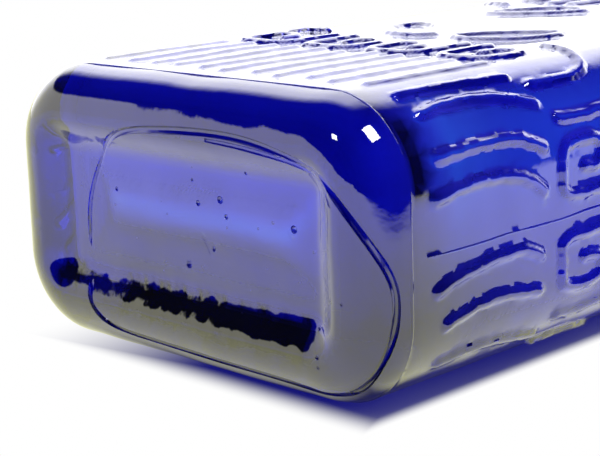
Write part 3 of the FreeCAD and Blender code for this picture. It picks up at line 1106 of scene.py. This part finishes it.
# World: white to the camera and soft on the object. Reflections show a bright room with a dark
# front and right, and refraction shows white with a painted shade strip where the bottle lies
room = {
    "white": (1, 1, 1, 1),
    "soft": (1.5, 1.5, 1.5, 1),
    "softUp": (0.55, 1),
    "softFront": (0.6, 1),
    "front": 0.3,
    "unlit": (0.1, 0.1, 0.1, 1),
    "far": (2, 2, 1.95, 1),
    "near": (1, 0.99, 0.78, 1),
    "nearToFar": (-0.2, 0.3),
    "dark": (0.01, 0.01, 0.015, 1),
    "farUp": (0.02, 0.3),
    "farLeft": (-0.05, -0.35),
    "edgeSlope": 0.93,
    "edgeStart": 0.865,
    "edgeTop": 0.41,
    "edgeFade": (0.02, -0.02),
    "nearLeft": (0.4, -0.1),
    "contactShade": (0.003, 0.003, 0.01, 1),
    "contactFrom": (0, 0.08),
    "contactTo": (0.6, 0.4),
}


def studioWorld():
    world = bpy.data.worlds.new("studio")
    scene.world = world
    world.use_nodes = True
    tree = world.node_tree
    tree.nodes.clear()
    place = addNode(tree, "ShaderNodeTexCoord")
    parts = addNode(tree, "ShaderNodeSeparateXYZ", {}, {"Vector": place.outputs["Generated"]})
    across, back, along = [parts.outputs[axis] for axis in "XYZ"]
    front = reckon(tree, "MULTIPLY", back, -1)

    def fadeBy(value, name):
        return fade(tree, value, *room[name])

    farSide = reckon(tree, "MULTIPLY", fadeBy(along, "farUp"), fadeBy(across, "farLeft"))
    slope = reckon(tree, "MULTIPLY", along, room["edgeSlope"])
    edge = reckon(tree, "ADD", slope, room["edgeStart"])
    edge = reckon(tree, "MINIMUM", edge, room["edgeTop"])
    low = fadeBy(reckon(tree, "SUBTRACT", front, edge), "edgeFade")
    nearSide = reckon(tree, "MULTIPLY", low, fadeBy(across, "nearLeft"))
    bright = reckon(tree, "MAXIMUM", farSide, nearSide)
    pale = blendColours(tree, fadeBy(along, "nearToFar"), room["near"], room["far"])
    mirrored = blendColours(tree, bright, room["dark"], pale)
    facing = reckon(tree, "MULTIPLY", fadeBy(front, "softFront"), room["front"])
    overhead = reckon(tree, "MAXIMUM", facing, fadeBy(along, "softUp"))
    soft = blendColours(tree, overhead, room["unlit"], room["soft"])
    # painted shade: refracted rays heading low toward the sheet beside the bottle see a near-black
    # strip
    beneath = reckon(tree, "MULTIPLY", fadeBy(back, "contactFrom"), fadeBy(back, "contactTo"))
    through = blendColours(tree, beneath, room["white"], room["contactShade"])
    path = addNode(tree, "ShaderNodeLightPath")
    shown = blendColours(tree, path.outputs["Is Glossy Ray"], soft, mirrored)
    shown = blendColours(tree, path.outputs["Is Transmission Ray"], shown, through)
    shown = blendColours(tree, path.outputs["Is Camera Ray"], shown, room["white"])
    light = addNode(tree, "ShaderNodeBackground", {}, {"Color": shown})
    addNode(tree, "ShaderNodeOutputWorld", {}, {"Surface": light.outputs[0]})


studioWorld()

# Lamps: a soft one in front of the sheet, a weak one behind it, and three that glint on the heel
lamps = [
    {"name": "softLamp", "towards": (-0.12, -0.93, 0.32), "away": 0.9, "size": 0.3, "power": 6.4},
    {"name": "backFill", "towards": (-0.35, 0.75, 0.55), "away": 0.9, "size": 0.4, "power": 2.4},
    {"name": "heelGlint", "towards": (-0.112, -0.615, -0.781), "away": 0.8, "size": 0.09,
     "power": 0.3},
    {"name": "cornerGlint", "towards": (0.461, -0.88, -0.113), "away": 0.8, "size": 0.26,
     "power": 2.3},
    {"name": "edgeGlint", "towards": (0.285, -0.841, 0.461), "away": 0.8, "size": 0.04,
     "power": 0.06},
]
lampTarget = Vector((0, 0, 30 * mm))
for values in lamps:
    clearSelection()
    aim = Vector(values["towards"]).normalized()
    bpy.ops.object.light_add(type="AREA", location=aim * values["away"] + lampTarget)
    lamp = bpy.context.active_object
    lamp.name = values["name"]
    lamp.rotation_euler = aim.to_track_quat("Z", "Y").to_euler()
    lamp.data.size = values["size"]
    lamp.data.energy = values["power"]
    lamp.visible_glossy = "Glint" in values["name"]  # these show in the glass and light nothing
    lamp.visible_diffuse = not lamp.visible_glossy
    lamp.visible_transmission = False
print("stage, world and lamps set")

view = {
    "eye": (197.53 * mm, -58.71 * mm, -165 * mm),
    "heading": (-0.6951, 0.2244, 0.683),
    "upwards": (0, -1, 0),  # the bottle lies on its +Y side
    "roll": -1.97,
    "lens": 97.27,
    "sensor": 36,
    "clip": 10 * mm,
}


def addCamera():
    clearSelection()
    bpy.ops.object.camera_add()
    camera = bpy.context.active_object
    heading = Vector(view["heading"]).normalized()
    right = heading.cross(Vector(view["upwards"])).normalized()
    up = right.cross(heading)
    turn = math.radians(view["roll"])
    axisX = right * math.cos(turn) + up * math.sin(turn)
    axisY = up * math.cos(turn) - right * math.sin(turn)
    turned = Matrix((axisX, axisY, -heading)).transposed().to_4x4()
    camera.matrix_world = Matrix.Translation(view["eye"]) @ turned
    camera.data.lens = view["lens"]
    camera.data.sensor_width = view["sensor"]
    camera.data.clip_start = view["clip"]
    scene.camera = camera


addCamera()
print("camera set")
